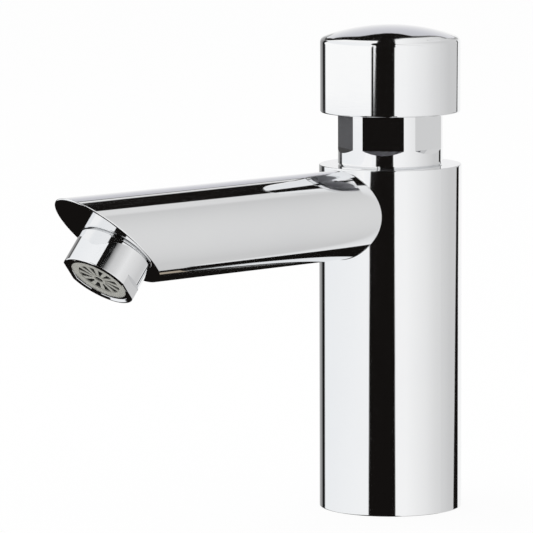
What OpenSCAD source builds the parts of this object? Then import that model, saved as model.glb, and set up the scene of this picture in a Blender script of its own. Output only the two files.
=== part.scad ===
// Push timed basin tap: a brass body with a straight spout, a sprung push
// button over a spanner-flatted bonnet, and a screwed-on aerator.
// The tap stands on its base with the origin at the centre of the base,
// +Z up and the spout along -Y. A push opens the valve, and the water held
// over the piston lets the spring close it slowly.

/* [Body] */
// Outside diameter of the body
body_d = 45; // [44:0.5:52]
// Height of the body
body_h = 109; // [105:0.5:125]
// Rounding of the body's top and bottom edges
body_edge = 0.3; // [0.2:0.1:1]
// Minor diameter of the pipe thread in the base, for the fixing tail
tail_d = 18.6; // [17:0.1:19.5]
// Depth of the tail thread
tail_depth = 15; // [12:0.5:18]
// Diameter of the waterway above the flow regulator
waterway_d = 13; // [9:0.5:14]

/* [Base gasket] */
// Metal left outside the gasket groove
gasket_rim = 1.8; // [1.4:0.1:2.4]
// Width of the gasket
gasket_w = 3; // [2:0.1:4]
// Thickness of the gasket
gasket_h = 2.2; // [1.5:0.1:3.5]

/* [Spout] */
// Outside diameter of the spout tube
spout_d = 28; // [26:0.5:30]
// Wall of the spout tube
spout_wall = 1.6; // [1.2:0.1:2]
// Height of the body's top face over the crown of the spout
spout_step = 0.5; // [0.3:0.1:3]
// Body axis to the cut face, along the spout axis
spout_reach = 119; // [100:1:150]
// Angle of the cut face to the spout axis
cut_angle = 39.5; // [36:0.5:50]
// Thickness of the closed end behind the cut face
end_wall = 3; // [2:0.1:4]
// Radius of the polished braze fillet round the spout's root
braze_r = 1.4; // [1.2:0.1:3]
// Diameter of the water port from the body into the spout
port_d = 10; // [7:0.5:11]

/* [Aerator] */
// Height of the aerator shell over the cut face
aerator_len = 11.4; // [10.5:0.1:14]
// Distance of the aerator below the middle of the cut face
aerator_drop = 4.8; // [3:0.1:6]
// Thread diameter of the spout's nipple
nipple_d = 21.6; // [20:0.1:24]
// Wall of the nipple
nipple_wall = 2; // [1.6:0.1:2.4]
// Wall of the aerator shell round the nipple
shell_wall = 0.95; // [0.9:0.05:1.5]
// Depth of the two spanner flats of the shell
shell_flat_depth = 1; // [0.6:0.1:1.2]
// Height of the spanner flats
shell_flat_h = 3.4; // [2.5:0.1:4.5]
// Turn of the spanner flats round the aerator axis
shell_flat_turn = -22; // [-90:1:90]
// Rounding of the shell's end at the spout
shell_shoulder = 0.5; // [0.3:0.1:0.8]
// Thickness of the shell's outlet lip
shell_lip = 1.2; // [1.1:0.1:1.6]
// Depth of the insert's face inside the outlet lip
insert_recess = 0.6; // [0.2:0.1:0.7]
// Number of spokes in the outlet grid
spokes = 12; // [8:1:16]
// Width of a spoke at the hub
spoke_w = 0.8; // [0.6:0.1:1]
// Width of a spoke at the rim
spoke_end_w = 1.5; // [0.8:0.1:1.8]
// Diameter of the grid's hub
hub_d = 4.6; // [4:0.1:6]

/* [Bonnet] */
// Thread diameter of the bonnet in the body
bonnet_thread_d = 30; // [28:0.5:32]
// Width of the collar that rests on the body, outside the thread
collar_lip = 1.5; // [1.2:0.1:2.5]
// Depth of the six spanner flats in the collar
bonnet_flat_depth = 1.35; // [0.8:0.05:1.8]
// Turn of the spanner flats round the body axis
bonnet_flat_turn = 7; // [-30:0.5:30]
// Plain height of the collar under the flats
collar_plain = 4; // [3:0.1:8]
// Diameter of the timing chamber
chamber_d = 20; // [19:0.1:21]

/* [Button] */
// Outside diameter of the button
button_d = 44.2; // [42:0.1:50]
// Straight height of the button's side
button_side = 23.3; // [21:0.1:32]
// Rise of the domed top over its rim
dome_rise = 4.1; // [2.5:0.1:6]
// Free gap between the body and the button at rest
button_gap = 16.5; // [13:0.5:24]
// Travel of the button
stroke = 10; // [7:0.5:11]
// Wall of the button's skirt
button_wall = 2; // [1.4:0.1:3]
// Thickness of the button's top
button_top_wall = 2.6; // [2:0.1:3.5]
// Rounding of the button's lower edge
button_edge = 0.5; // [0.3:0.1:0.6]
// Rounding between the button's side and its dome
button_shoulder = 2; // [1:0.1:2.8]
// Length of the threaded boss under the button's top
boss_len = 7.3; // [6:0.1:8]
// Diameter of the boss
boss_d = 13; // [12:0.5:18]

/* [Stem and piston] */
// Diameter of the stem
stem_d = 8; // [7:0.1:8.4]
// Diameter of the stem's lower threaded end
stem_end_d = 6; // [5:0.1:6.4]
// Height of the piston
piston_h = 8; // [7:0.1:9]
// Diameter of the bleed pin
bleed_pin_d = 1; // [0.8:0.1:1.1]

/* [Return spring] */
// Wire diameter
spring_wire = 1.4; // [1:0.1:1.6]
// Room between the coils and the timing chamber
spring_room = 1; // [0.6:0.1:1.2]
// Number of turns
spring_turns = 7.5; // [5:0.5:8]

/* [Cartridge] */
// Metal left under the sleeve's O-ring groove
skirt_wall = 1; // [0.7:0.1:1.4]
// Wall of the sleeve at its windows
sleeve_wall = 1.8; // [1.4:0.1:2.2]
// Number of windows
windows = 4; // [3:1:6]
// Diameter of the water opening in the valve seat
seat_d = 14; // [12:0.1:14.4]
// Reach of the valve's cup outside the water opening
cup_lap = 1.8; // [1.5:0.1:2.4]
// Room for the water round the valve's cup
cup_room = 1.4; // [1:0.1:1.8]
// Thickness of the valve washer
washer_h = 3; // [2:0.1:4]
// Depth of the strainer's basket
strainer_h = 16; // [10:0.5:18]
// Number of slots in the strainer
strainer_slots = 12; // [8:1:16]

/* [Seals] */
// Section of the O-ring under the bonnet's collar
bonnet_ring_w = 2; // [1.6:0.1:2.4]
// Section of the stem's O-ring
stem_ring_w = 2; // [1.6:0.1:2.2]
// Section of the sleeve's O-ring
sleeve_ring_w = 1.8; // [1.5:0.1:2]
// Section of the flow regulator's O-ring
regulator_ring_w = 1.5; // [1.2:0.1:1.8]

/* [Clearances] */
// Running clearance of shafts and lips, on the radius
run_fit = 0.05; // [0.02:0.01:0.1]
// Clearance of parts that are screwed, pushed or laid in, on the radius
seat_fit = 0.1; // [0.05:0.01:0.2]
// Gap left under the braze fillet
braze_gap = 0.05; // [0.04:0.01:0.08]
// Gap between the button's lock nut and the bonnet when pressed
press_clear = 0.5; // [0.4:0.1:1.5]

/* [Hidden] */
$fn = 96;
eps = 0.01;
far = 2 * (body_h + spout_reach);
chrome = [0.82, 0.83, 0.85];
brass = [0.80, 0.66, 0.36];
steel = [0.62, 0.64, 0.67];
rubber = [0.13, 0.13, 0.14];
acetal = [0.90, 0.90, 0.87];
grey_plastic = [0.70, 0.71, 0.72];

// Sizes where an arc meets a straight side are kept to a whole micron
function to_micron(size) = round(size * 1000) / 1000;

// Radii
body_r = body_d / 2;
tail_r = tail_d / 2;
spout_r = spout_d / 2;
spout_bore_r = spout_r - spout_wall;
port_r = port_d / 2;
bonnet_thread_r = bonnet_thread_d / 2;
collar_r = bonnet_thread_r + collar_lip;
chamber_r = chamber_d / 2;
button_r = button_d / 2;
stem_r = stem_d / 2;
stem_end_r = stem_end_d / 2;
stem_collar_w = 1.2;
stem_collar_r = stem_r + stem_collar_w;
spring_out_r = chamber_r - spring_room;
spring_r = spring_out_r - spring_wire / 2;
gallery_clear = 0.6;
gallery_in_r = spring_out_r + gallery_clear;
gallery_out_r = gallery_in_r + sleeve_wall;
seat_r = seat_d / 2;
cup_r = seat_r + cup_lap;
skirt_in_r = cup_r + cup_room;
sleeve_r = skirt_in_r + skirt_wall + sleeve_ring_w;

// Heights of the button, from the top of the body upwards
button_z0 = body_h + button_gap;
button_rim = button_z0 + button_side;
button_top = button_rim + dome_rise;
dome_r = to_micron((pow(button_r, 2) + pow(dome_rise, 2)) / (2 * dome_rise));
dome_z = button_top - dome_r;
shoulder_r = button_r - button_shoulder;
shoulder_lift = 0.002;
shoulder_z = to_micron(dome_z + shoulder_lift
    + sqrt(pow(dome_r - button_shoulder, 2) - pow(shoulder_r, 2)));
ceiling_z = button_top - button_top_wall;
boss_z0 = ceiling_z - boss_len;
stem_top_gap = 0.4;
stem_top = ceiling_z - stem_top_gap;
stem_lead = 0.6;
lock_nut_h = 4;
lock_nut_af = 13;
lock_nut_z0 = boss_z0 - lock_nut_h;

// Heights of the gland in the bonnet's head, from the top down
bonnet_top = lock_nut_z0 - stroke - press_clear;
bonnet_chamfer = 0.8;
collar_foot = 0.4;
gland_land = 1;
clip_h = 1;
gland_clip_z0 = bonnet_top - gland_land - clip_h;
clip_bite = 0.6;
gland_clip_w = 1.4;
gland_clip_opening = 3;
bush_h = 2.7;
bush_wall = 3;
bush_r = stem_r + bush_wall;
bush_z0 = gland_clip_z0 - bush_h;
ring_slack = 0.3;
stem_ring_room = stem_ring_w + ring_slack;
gland_web = 1.5;
chamber_top = bush_z0 - stem_ring_room - gland_web;

// Heights of the piston and the bonnet's lower end
stem_collar_h = 1.5;
stem_collar_gap = 0.5;
piston_top = chamber_top - stem_collar_gap - stem_collar_h;
piston_z0 = piston_top - piston_h;
piston_r = chamber_r - 2 * seat_fit;
piston_groove = 2.6;
piston_groove_r = chamber_r - piston_groove;
piston_land = 1.6;
stroke_spare = 1.5;
bonnet_z0 = piston_z0 - stroke - stroke_spare;
bleed_r = (stem_collar_r + piston_groove_r) / 2;
bleed_seat = 1;
bleed_spare = 2;
bleed_z0 = piston_top - stroke - bleed_spare;
stem_clip_w = 1.3;
stem_clip_opening = 2;

// Heights of the spout, its port and the cartridge
spout_z = body_h - spout_step - spout_r;
root_sink = 0.6;
root_r = body_r - root_sink;
port_lift = 1;
port_z = spout_z - spout_bore_r + port_r + port_lift;
sleeve_flange = 1.5;
sleeve_step_z = bonnet_z0 - sleeve_flange;
sleeve_guide = 2;
gallery_top = sleeve_step_z - sleeve_guide;
gallery_z0 = port_z - port_r - gallery_clear;
web_h = 4;
web_z0 = gallery_z0 - web_h;
seat_nib = 1;
seat_flange = 2;
seat_w = 2.4;
seat_out_r = seat_r + seat_w;
seat_nib_w = 0.5;
seat_z = web_z0 - seat_nib;
washer_top = seat_z - run_fit;
washer_z0 = washer_top - washer_h;
cup_rim_w = 0.7;
cup_base = 3.5;
cup_z0 = washer_z0 - cup_base;
valve_nut_h = 4;
valve_nut_af = 10;
valve_nut_z0 = cup_z0 - valve_nut_h;
stem_tail = 2;
stem_z0 = valve_nut_z0 - stem_tail;
sleeve_z0 = stem_z0 - stroke;
sleeve_ring_drop = 9;
sleeve_ring_z = web_z0 - sleeve_ring_drop;

// Heights of the inlet, below the cartridge
strainer_flange = 1.5;
strainer_top = sleeve_z0 - seat_fit;
strainer_seat_z = strainer_top - strainer_flange;
strainer_wall = 0.8;
strainer_ledge = 2.8;
strainer_bore_r = sleeve_r - strainer_ledge;
strainer_room = 1.7;
strainer_r = strainer_bore_r - strainer_room;
strainer_z0 = strainer_top - strainer_h;
inlet_floor = 3;
inlet_floor_z = strainer_z0 - inlet_floor;
regulator_h = 4.6;
regulator_z0 = tail_depth + seat_fit;
regulator_ledge = 0.5;
regulator_bore_r = tail_r - regulator_ledge;
regulator_r = regulator_bore_r - seat_fit;
regulator_hole_d = 2;
regulator_top = regulator_z0 + regulator_h;

// Aerator, measured outwards from the cut face
shell_gap = 0.3;
nipple_r = nipple_d / 2;
nipple_bore_r = nipple_r - nipple_wall;
shell_r = nipple_r + shell_wall;
shell_edge = 0.4;
cage_wall = 0.6;
cage_r = shell_r - shell_flat_depth - cage_wall;
outlet_lip = 0.5;
outlet_r = cage_r - outlet_lip;
outlet_bevel = 0.15;
insert_flange = 2.2;
aerator_washer_h = 1;
lip_w = aerator_len - shell_lip;
insert_top_w = lip_w - insert_flange;
nipple_w = insert_top_w - aerator_washer_h;
insert_r = cage_r - seat_fit;
insert_cup_r = nipple_bore_r - seat_fit;
insert_cup_w = 2;
insert_wall = 1;
insert_bore_r = insert_cup_r - insert_wall;
insert_face_w = aerator_len - insert_recess;
insert_edge = 0.2;
grid_h = 3;
spoke_sink = 0.25;
hub_r = hub_d / 2;
hub_wall = 0.8;
sieve_ledge = 0.8;
sieve_h = 1.2;
sieve_depth = 2;
sieve_w = insert_cup_w + sieve_depth;
sieve_hole_d = 1.2;

// Places local +Z along the spout axis, outwards from the body axis
module along_spout(z = spout_z) {
    translate([0, 0, z]) rotate([90, 0, 0]) children();
}

// Places local +Z square out of the cut face, +Y up the face
module on_cut_face() {
    translate([0, -spout_reach, spout_z]) rotate([180 - cut_angle, 0, 0]) children();
}

// Places local +Z on the aerator axis
module on_aerator() {
    on_cut_face() translate([0, -aerator_drop, 0]) children();
}

// Everything outside a plane square to local Z
module outer_half(z) {
    translate([-far / 2, -far / 2, z]) cube([far, far, far]);
}

// Half section of a bar with rounded lower and, if asked, upper outer edges
module bar_section(r, z0, z1, low, high = 0) {
    translate([0, z0 + low]) square([r, z1 - z0 - low - high]);
    translate([0, z0]) square([r - low, low + eps]);
    translate([r - low, z0 + low]) circle(low);
    if (high > 0) {
        translate([0, z1 - high - eps]) square([r - high, high + eps]);
        translate([r - high, z1 - high]) circle(high);
    }
}

// Flat ring between two radii
module ring(r_in, r_out, z0, h) {
    difference() {
        translate([0, 0, z0]) cylinder(r = r_out, h = h);
        translate([0, 0, z0 - 1]) cylinder(r = r_in, h = h + 2);
    }
}

// Round rubber ring of a given section, between two radii
module o_ring(r_in, r_out, z, section) {
    translate([0, 0, z]) rotate_extrude() translate([(r_in + r_out) / 2, 0]) circle(d = section);
}

// Hexagon nut with a plain bore
module hex_nut(af, bore_r, z0, h) {
    difference() {
        translate([0, 0, z0]) cylinder(d = af / cos(30), h = h, $fn = 6);
        translate([0, 0, z0 - 1]) cylinder(r = bore_r, h = h + 2);
    }
}

// Open spring ring that snaps into a groove
module circlip(r_in, r_out, z0, h, opening) {
    difference() {
        ring(r_in, r_out, z0, h);
        translate([0, -opening / 2, z0 - 1]) cube([r_out + 1, opening, h + 2]);
    }
}

// One spanner flat, with a 45 degree run-out at its lower end
module bonnet_flat() {
    flat_r = collar_r - bonnet_flat_depth;
    z0 = body_h + collar_plain;
    rotate([90, 0, 0]) linear_extrude(2 * collar_r, center = true)
        polygon([[flat_r, bonnet_top + 1], [flat_r, z0 + bonnet_flat_depth], [collar_r, z0],
            [collar_r + 1, z0 - 1], [collar_r + 1, bonnet_top + 1]]);
}

// Brass body: straight bar with the cartridge's stepped bore, a groove for the
// spout's root, the port, and the tail thread and gasket groove in its base
module body() {
    color(chrome) difference() {
        rotate_extrude() bar_section(body_r, 0, body_h, body_edge, body_edge);
        rotate_extrude() polygon([[0, -1], [tail_r, -1], [tail_r, tail_depth], [regulator_bore_r, tail_depth],
            [regulator_bore_r, regulator_top], [waterway_d / 2, regulator_top],
            [waterway_d / 2, inlet_floor_z], [strainer_bore_r, inlet_floor_z],
            [strainer_bore_r, strainer_seat_z], [sleeve_r, strainer_seat_z],
            [sleeve_r, sleeve_step_z], [bonnet_thread_r, sleeve_step_z],
            [bonnet_thread_r, body_h + 1], [0, body_h + 1]]);
        ring(body_r - gasket_rim - gasket_w, body_r - gasket_rim, -1, gasket_h + 1);
        difference() {
            along_spout() cylinder(r = spout_r + run_fit, h = 2 * body_r);
            cylinder(r = root_r, h = far);
        }
        along_spout(port_z) cylinder(r = port_r, h = 2 * body_r);
    }
}

// Rubber ring let into the base, flush with the metal
module base_gasket() {
    r_out = body_r - gasket_rim - run_fit;
    color(rubber) ring(r_out - gasket_w + 2 * run_fit, r_out, run_fit, gasket_h - run_fit);
}

// Brass tube, coped to the body at its root, with its mitred end closed and
// the aerator's nipple on it
module spout() {
    tube_len = spout_reach + spout_d / tan(cut_angle);
    color(chrome) difference() {
        union() {
            difference() {
                along_spout() cylinder(r = spout_r, h = tube_len);
                cylinder(r = root_r + run_fit, h = far);
                on_cut_face() outer_half(0);
            }
            on_aerator() translate([0, 0, -end_wall / 2])
                cylinder(r = nipple_r - seat_fit, h = nipple_w + end_wall / 2);
        }
        difference() {
            along_spout() cylinder(r = spout_bore_r, h = tube_len);
            on_cut_face() outer_half(-end_wall);
        }
        on_aerator() translate([0, 0, -end_wall - eps])
            cylinder(r = nipple_bore_r, h = end_wall + nipple_w + 1);
    }
}

// The fillet's ball rolls in the corner between the spout and the body. It
// shrinks towards the crown, where the spout runs into the body's top edge.
braze_limit = body_h - body_edge - braze_gap - spout_z;
braze_least = 0.6;
braze_highest = 0.97;
braze_end = asin(min(braze_highest, braze_limit / (spout_r + braze_least)));
braze_rings = 72;
braze_arc = 6;

function unit(v) = v / norm(v);
function slerp(a, b, t) = let (w = acos(a * b)) (a * sin(w * (1 - t)) + b * sin(w * t)) / sin(w);
function ball_r(phi) =
    sin(phi) <= 0 ? braze_r : min(braze_r, braze_limit / sin(phi) - spout_r);
function ball_centre(phi, r) =
    let (x = (spout_r + r) * cos(phi))
    [x, -sqrt(pow(body_r + r, 2) - x * x), spout_z + (spout_r + r) * sin(phi)];
function on_spout_skin(p) =
    let (u = unit([p.x, 0, p.z - spout_z]) * (spout_r + braze_gap)) [u.x, p.y, u.z + spout_z];
function on_body_skin(p) =
    let (u = unit([p.x, p.y, 0]) * (body_r + braze_gap)) [u.x, u.y, p.z];
function corner_point(phi) =
    let (x = (spout_r + braze_gap) * cos(phi))
    [x, -sqrt(pow(body_r + braze_gap, 2) - x * x), spout_z + (spout_r + braze_gap) * sin(phi)];
function braze_ring(phi) =
    let (r = ball_r(phi), c = ball_centre(phi, r), to_spout = [-cos(phi), 0, -sin(phi)],
        to_body = -unit([c.x, c.y, 0]), sweep = acos(to_spout * to_body),
        trim = acos(1 - 2 * braze_gap / r) / sweep,
        arc = [for (k = [0 : braze_arc])
            c + r * slerp(to_spout, to_body, trim + (1 - 2 * trim) * k / braze_arc)])
    concat(arc, [on_body_skin(arc[braze_arc]), corner_point(phi), on_spout_skin(arc[0])]);

// Closed skin over a row of rings with equal numbers of points
function skin_faces(rings, sides) = concat(
    [for (i = [0 : rings - 2], j = [0 : sides - 1])
        let (a = i * sides + j, b = i * sides + (j + 1) % sides) each
        [[a, b, b + sides], [a, b + sides, a + sides]]],
    [[for (j = [sides - 1 : -1 : 0]) j]],
    [[for (j = [0 : sides - 1]) (rings - 1) * sides + j]]);

// Polished braze fillet round the root of the spout, open at the crown
module spout_braze_fillet() {
    from = 180 - braze_end;
    to = 360 + braze_end;
    rows = [for (i = [0 : braze_rings - 1]) braze_ring(from + (to - from) * i / (braze_rings - 1))];
    color(chrome) polyhedron([for (row = rows) each row], skin_faces(braze_rings, len(rows[0])));
}

// Bonnet: screwed into the body, with spanner flats outside, the timing
// chamber inside and the stem's gland in its head
module bonnet() {
    ring_seat_r = bonnet_thread_r - bonnet_ring_w;
    ring_seat_z = body_h - bonnet_ring_w - ring_slack;
    web_r = stem_r + ring_slack;
    color(chrome) difference() {
        rotate_extrude() polygon([[0, bonnet_z0], [bonnet_thread_r - seat_fit, bonnet_z0],
            [bonnet_thread_r - seat_fit, ring_seat_z], [ring_seat_r, ring_seat_z],
            [ring_seat_r, body_h], [collar_r - collar_foot, body_h], [collar_r, body_h + collar_foot],
            [collar_r, bonnet_top - bonnet_chamfer], [collar_r - bonnet_chamfer, bonnet_top],
            [0, bonnet_top]]);
        rotate_extrude() polygon([[0, bonnet_z0 - 1], [chamber_r, bonnet_z0 - 1],
            [chamber_r, chamber_top], [web_r, chamber_top], [web_r, chamber_top + gland_web],
            [stem_r + stem_ring_w, chamber_top + gland_web], [stem_r + stem_ring_w, bush_z0],
            [bush_r, bush_z0], [bush_r, gland_clip_z0], [bush_r + clip_bite, gland_clip_z0],
            [bush_r + clip_bite, gland_clip_z0 + clip_h], [bush_r, gland_clip_z0 + clip_h],
            [bush_r, bonnet_top + 1], [0, bonnet_top + 1]]);
        for (k = [0 : 5]) rotate(bonnet_flat_turn + 60 * k) bonnet_flat();
        translate([bleed_r, 0, chamber_top - 1]) cylinder(d = bleed_pin_d, h = bleed_seat + 1);
    }
}

// Rubber ring under the bonnet's collar
module bonnet_o_ring() {
    color(rubber) o_ring(bonnet_thread_r - bonnet_ring_w, bonnet_thread_r,
        body_h - (bonnet_ring_w + ring_slack) / 2, bonnet_ring_w - 2 * run_fit);
}

// Steel stem: screwed into the button, with a collar over the piston, a
// clip groove under it and a threaded lower end for the valve
module stem() {
    clip_r = stem_r - clip_bite;
    color(steel) rotate_extrude() polygon([[0, stem_z0], [stem_end_r - stem_lead, stem_z0],
        [stem_end_r, stem_z0 + stem_lead], [stem_end_r, washer_top], [stem_r, washer_top],
        [stem_r, piston_z0 - clip_h], [clip_r, piston_z0 - clip_h], [clip_r, piston_z0],
        [stem_r, piston_z0], [stem_r, piston_top], [stem_collar_r, piston_top],
        [stem_collar_r, piston_top + stem_collar_h], [stem_r, piston_top + stem_collar_h],
        [stem_r, stem_top - stem_lead], [stem_r - stem_lead, stem_top], [0, stem_top]]);
}

// Acetal bush that guides the stem in the bonnet's head
module stem_bush() {
    color(acetal) ring(stem_r + run_fit, bush_r - run_fit, bush_z0, bush_h);
}

// Rubber ring that seals the stem
module stem_o_ring() {
    color(rubber) o_ring(stem_r, stem_r + stem_ring_w, bush_z0 - stem_ring_room / 2,
        stem_ring_w - 2 * run_fit);
}

// Steel clip that holds the bush in the bonnet
module gland_circlip() {
    color(steel) circlip(bush_r - gland_clip_w, bush_r + clip_bite - run_fit, gland_clip_z0, clip_h,
        gland_clip_opening);
}

// Half section of the button's outside: straight side, rounded shoulder, dome
module button_section() {
    reach = shoulder_r / (shoulder_z - dome_z);
    bar_section(button_r, button_z0, shoulder_z, button_edge);
    translate([shoulder_r, shoulder_z]) circle(button_shoulder);
    intersection() {
        translate([0, dome_z]) circle(dome_r);
        polygon([[0, shoulder_z - 1], [reach * (shoulder_z - 1 - dome_z), shoulder_z - 1],
            [reach * (button_top + 1 - dome_z), button_top + 1], [0, button_top + 1]]);
    }
}

// Push button: a domed brass cap with a threaded boss for the stem
module push_button() {
    color(chrome) difference() {
        union() {
            rotate_extrude() difference() {
                button_section();
                intersection() {
                    translate([0, button_z0 - 1]) square([button_r - button_wall, far]);
                    translate([0, dome_z]) circle(dome_r - button_top_wall);
                }
            }
            translate([0, 0, boss_z0])
                cylinder(d = boss_d, h = boss_len + button_top_wall / 2);
        }
        translate([0, 0, boss_z0 - 1]) cylinder(r = stem_r + run_fit, h = boss_len + 1);
    }
}

// Steel nut that locks the button on the stem
module button_lock_nut() {
    color(steel) hex_nut(lock_nut_af, stem_r + run_fit, lock_nut_z0, lock_nut_h);
}

// Acetal piston, grooved for its seal and drilled for the bleed pin
module piston() {
    color(acetal) difference() {
        rotate_extrude() polygon([[stem_r + run_fit, piston_z0], [piston_r, piston_z0],
            [piston_r, piston_z0 + piston_land], [piston_groove_r, piston_z0 + piston_land],
            [piston_groove_r, piston_top - piston_land], [piston_r, piston_top - piston_land],
            [piston_r, piston_top], [stem_r + run_fit, piston_top]]);
        translate([bleed_r, 0, piston_z0 - 1])
            cylinder(d = bleed_pin_d + 2 * run_fit, h = piston_h + 2);
    }
}

// Rubber lip seal: lets water past on the push and holds it on the return
module piston_lip_seal() {
    r_in = piston_groove_r + run_fit;
    z0 = piston_z0 + piston_land + run_fit;
    z1 = piston_top - piston_land - run_fit;
    lip = chamber_r - run_fit;
    leg = (lip - r_in) / 3;
    heel = (z1 - z0) / 3;
    color(rubber) rotate_extrude() polygon([[r_in, z0], [lip - 2 * seat_fit, z0], [lip, z1],
        [lip - leg, z1], [(r_in + lip) / 2, z0 + heel], [r_in + leg, z1], [r_in, z1]]);
}

// Steel clip under the piston
module piston_circlip() {
    r_in = stem_r - clip_bite + run_fit;
    color(steel) circlip(r_in, stem_r + stem_clip_w, piston_z0 - clip_h, clip_h, stem_clip_opening);
}

// Steel pin that sets the bleed through the piston, fixed in the bonnet
module bleed_pin() {
    color(steel) translate([bleed_r, 0, bleed_z0])
        cylinder(d = bleed_pin_d - run_fit, h = chamber_top + bleed_seat - bleed_z0);
}

// Centre line of the spring and the ring of points round it
spring_steps = 12;
spring_sides = 6;
spring_z0 = gallery_z0 + spring_wire / 2;
spring_rise = piston_z0 - gallery_z0 - spring_wire;
spring_rows = round(spring_turns * spring_steps) + 1;
spring_pitch = spring_rise * spring_steps / (spring_rows - 1);

function spring_point(i) =
    let (a = 360 * i / spring_steps)
    [spring_r * cos(a), spring_r * sin(a), spring_z0 + spring_pitch * i / spring_steps];
function spring_ring(i) =
    let (a = 360 * i / spring_steps, lean = atan(spring_pitch / (2 * PI * spring_r)),
        out = [cos(a), sin(a), 0], up = [sin(a) * sin(lean), -cos(a) * sin(lean), cos(lean)])
    [for (j = [0 : spring_sides - 1]) let (b = 360 * j / spring_sides)
        spring_point(i) + spring_wire / 2 * (cos(b) * out + sin(b) * up)];
spring_gap = min([for (i = [0 : spring_rows - 1 - spring_steps])
    norm(spring_point(i + spring_steps) - spring_point(i))]) - spring_wire;

// Steel compression spring between the cartridge's web and the piston
module return_spring() {
    echo(least_gap_between_turns = spring_gap);
    color(steel) polyhedron([for (i = [0 : spring_rows - 1]) each spring_ring(i)],
        skin_faces(spring_rows, spring_sides));
}

// Brass sleeve: hangs by its flange under the bonnet and holds the valve
// seat, with windows that let the water out to the port
module cartridge_sleeve() {
    out_r = sleeve_r - seat_fit;
    ring_r = sleeve_r - sleeve_ring_w;
    ring_room = (sleeve_ring_w + ring_slack) / 2;
    window_w = gallery_in_r;
    color(brass) difference() {
        rotate_extrude() polygon([[0, sleeve_z0], [out_r, sleeve_z0],
            [out_r, sleeve_ring_z - ring_room], [ring_r, sleeve_ring_z - ring_room],
            [ring_r, sleeve_ring_z + ring_room], [out_r, sleeve_ring_z + ring_room],
            [out_r, gallery_z0 - 1], [gallery_out_r, gallery_z0], [gallery_out_r, gallery_top],
            [out_r, gallery_top], [out_r, sleeve_step_z],
            [bonnet_thread_r - 2 * seat_fit, sleeve_step_z],
            [bonnet_thread_r - 2 * seat_fit, bonnet_z0], [0, bonnet_z0]]);
        rotate_extrude() polygon([[0, sleeve_z0 - 1], [skirt_in_r, sleeve_z0 - 1],
            [skirt_in_r, web_z0], [seat_out_r + run_fit, web_z0],
            [seat_out_r + run_fit, web_z0 + seat_flange], [seat_r, web_z0 + seat_flange],
            [seat_r, gallery_z0], [gallery_in_r, gallery_z0], [gallery_in_r, bonnet_z0 + 1],
            [0, bonnet_z0 + 1]]);
        for (k = [0 : windows - 1]) rotate(360 * k / windows)
            translate([0, -window_w / 2, port_z - port_r])
                cube([sleeve_r, window_w, 2 * port_r]);
    }
}

// Rubber ring between the sleeve and the body
module sleeve_o_ring() {
    color(rubber) o_ring(sleeve_r - sleeve_ring_w, sleeve_r, sleeve_ring_z,
        sleeve_ring_w - 2 * run_fit);
}

// Steel seat with a raised nib, pressed into the sleeve's web
module valve_seat() {
    color(steel) rotate_extrude() polygon([[seat_r + run_fit, seat_z], [seat_r + seat_nib_w, seat_z],
        [seat_r + 2 * seat_nib_w, web_z0], [seat_out_r, web_z0], [seat_out_r, web_z0 + seat_flange],
        [seat_r + run_fit, web_z0 + seat_flange]]);
}

// Rubber washer that closes up against the seat
module valve_washer() {
    color(rubber) ring(stem_end_r + run_fit, cup_r - cup_rim_w - run_fit, washer_z0, washer_h);
}

// Brass cup that backs the washer and holds its edge
module valve_cup() {
    rim = washer_h / 2;
    bevel = cup_base / 3;
    color(brass) rotate_extrude() polygon([[stem_end_r + run_fit, cup_z0], [cup_r - bevel, cup_z0],
        [cup_r, cup_z0 + bevel], [cup_r, washer_z0 + rim], [cup_r - cup_rim_w, washer_z0 + rim],
        [cup_r - cup_rim_w, washer_z0], [stem_end_r + run_fit, washer_z0]]);
}

// Brass nut that clamps the cup and the washer on the stem
module valve_nut() {
    color(brass) hex_nut(valve_nut_af, stem_end_r + run_fit, valve_nut_z0, valve_nut_h);
}

// Steel basket that keeps grit out of the valve
module strainer() {
    slot_w = PI * strainer_r / strainer_slots;
    slot_land = 2;
    slot_z0 = strainer_z0 + slot_land;
    color(steel) difference() {
        rotate_extrude() polygon([[0, strainer_z0], [strainer_r, strainer_z0],
            [strainer_r, strainer_seat_z], [sleeve_r - seat_fit, strainer_seat_z],
            [sleeve_r - seat_fit, strainer_top], [strainer_r - strainer_wall, strainer_top],
            [strainer_r - strainer_wall, strainer_z0 + strainer_wall],
            [0, strainer_z0 + strainer_wall]]);
        for (k = [0 : strainer_slots - 1]) rotate(360 * k / strainer_slots)
            translate([strainer_r / 2, -slot_w / 2, slot_z0])
                cube([strainer_r, slot_w, strainer_seat_z - slot_land - slot_z0]);
    }
}

// Acetal disc that limits the flow, with its O-ring groove
module flow_regulator() {
    groove_r = regulator_bore_r - regulator_ring_w;
    groove_z = regulator_z0 + regulator_h / 2;
    room = (regulator_ring_w + ring_slack) / 2;
    holes = 6;
    color(acetal) difference() {
        rotate_extrude() polygon([[0, regulator_z0], [regulator_r, regulator_z0],
            [regulator_r, groove_z - room], [groove_r, groove_z - room], [groove_r, groove_z + room],
            [regulator_r, groove_z + room], [regulator_r, regulator_top], [0, regulator_top]]);
        for (k = [0 : holes - 1]) rotate(360 * k / holes)
            translate([groove_r / 2, 0, regulator_z0 - 1])
                cylinder(d = regulator_hole_d, h = regulator_h + 2);
    }
}

// Rubber ring round the flow regulator
module regulator_o_ring() {
    color(rubber) o_ring(regulator_bore_r - regulator_ring_w, regulator_bore_r,
        regulator_z0 + regulator_h / 2, regulator_ring_w - 2 * run_fit);
}

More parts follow.
